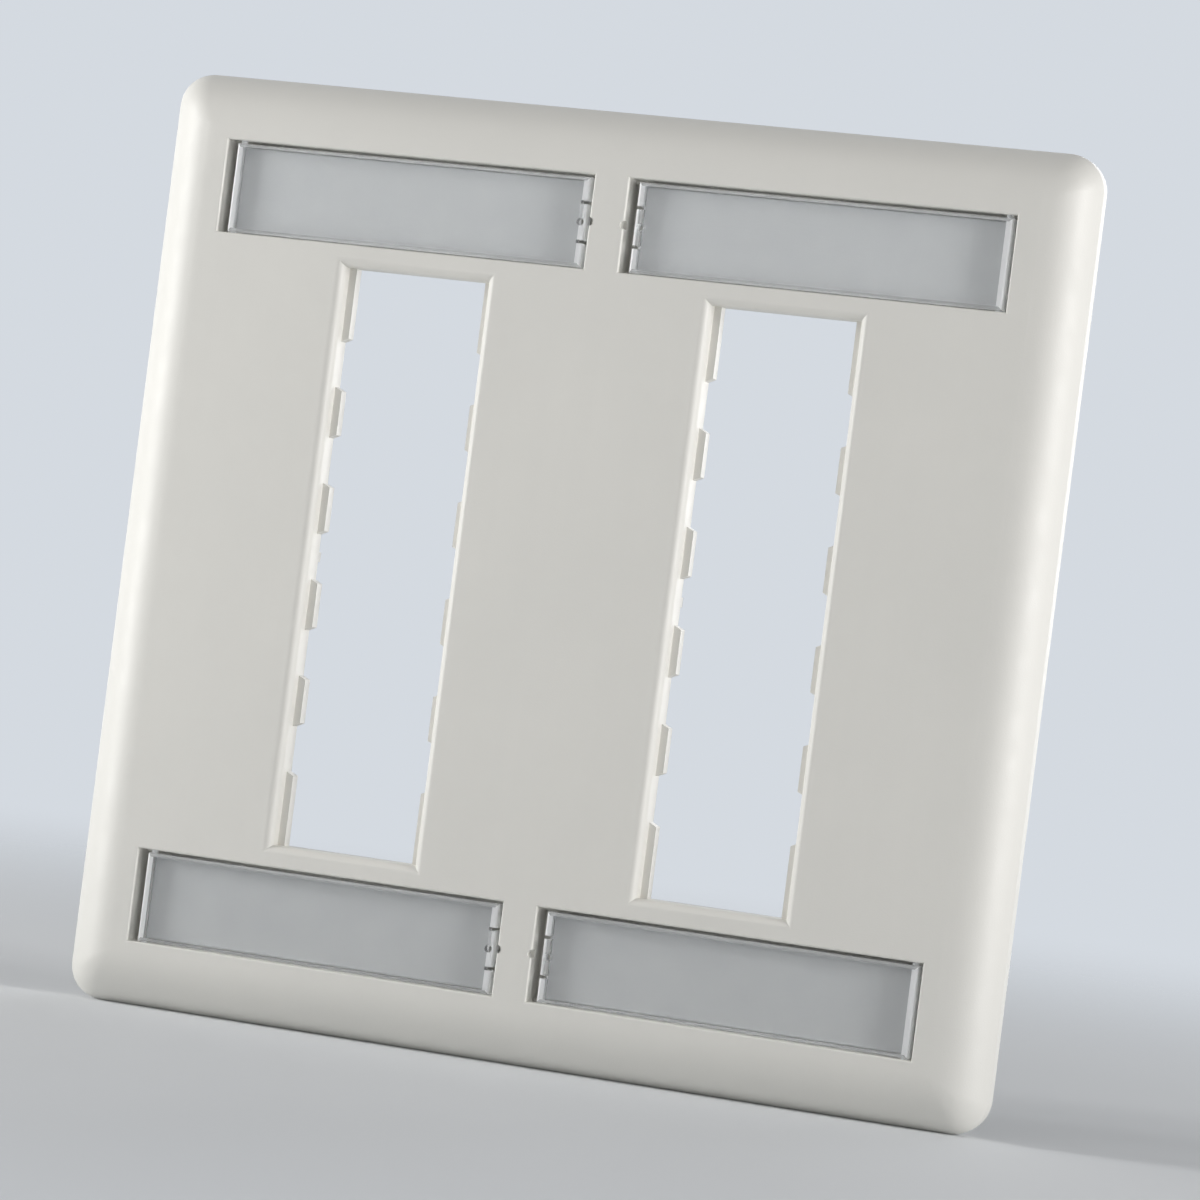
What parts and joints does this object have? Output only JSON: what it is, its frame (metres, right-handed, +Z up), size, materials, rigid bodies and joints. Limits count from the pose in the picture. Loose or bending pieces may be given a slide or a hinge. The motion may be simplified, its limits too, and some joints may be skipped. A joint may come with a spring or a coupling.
{
  "type": "double gang jack faceplate",
  "caption": "Square two-gang wall faceplate with rounded borders, toothed jack openings and hinged clear label windows over the box screw holes.",
  "frame": {"origin": "middle of the plate in its back plane, which lies on the wall: the middle of the four box screw holes", "axes": "upright as on a wall: +X to the right as seen from in front, +Z up, and the front face looks along -Y"},
  "size_m": [0.1158, 0.0065, 0.1142],
  "materials": {
    "moulding": "white moulded plastic with a fine matte texture",
    "clear_cover": "clear polished plastic",
    "label_card": "plain uncoated card"
  },
  "bodies": {
    "plate": {"faceplate": "moulding"},
    "cover_top_left": {"label_cover_top_left": "clear_cover", "label_card_top_left": "label_card"},
    "cover_top_right": {"label_cover_top_right": "clear_cover", "label_card_top_right": "label_card"},
    "cover_bottom_left": {"label_cover_bottom_left": "clear_cover", "label_card_bottom_left": "label_card"},
    "cover_bottom_right": {"label_cover_bottom_right": "clear_cover", "label_card_bottom_right": "label_card"}
  },
  "joints": [
    {"name": "cover_top_left_hinge", "type": "hinge", "parent": "plate", "child": "cover_top_left", "pos_m": [-0.0473, -0.0055, 0.04328], "axis": [0, 0, -1], "range_deg": [0, 75]},
    {"name": "cover_top_right_hinge", "type": "hinge", "parent": "plate", "child": "cover_top_right", "pos_m": [0.0481, -0.0055, 0.04328], "axis": [0, 0, 1], "range_deg": [0, 75]},
    {"name": "cover_bottom_left_hinge", "type": "hinge", "parent": "plate", "child": "cover_bottom_left", "pos_m": [-0.0473, -0.0055, -0.04352], "axis": [0, 0, -1], "range_deg": [0, 75]},
    {"name": "cover_bottom_right_hinge", "type": "hinge", "parent": "plate", "child": "cover_bottom_right", "pos_m": [0.0481, -0.0055, -0.04352], "axis": [0, 0, 1], "range_deg": [0, 75]}
  ]
}
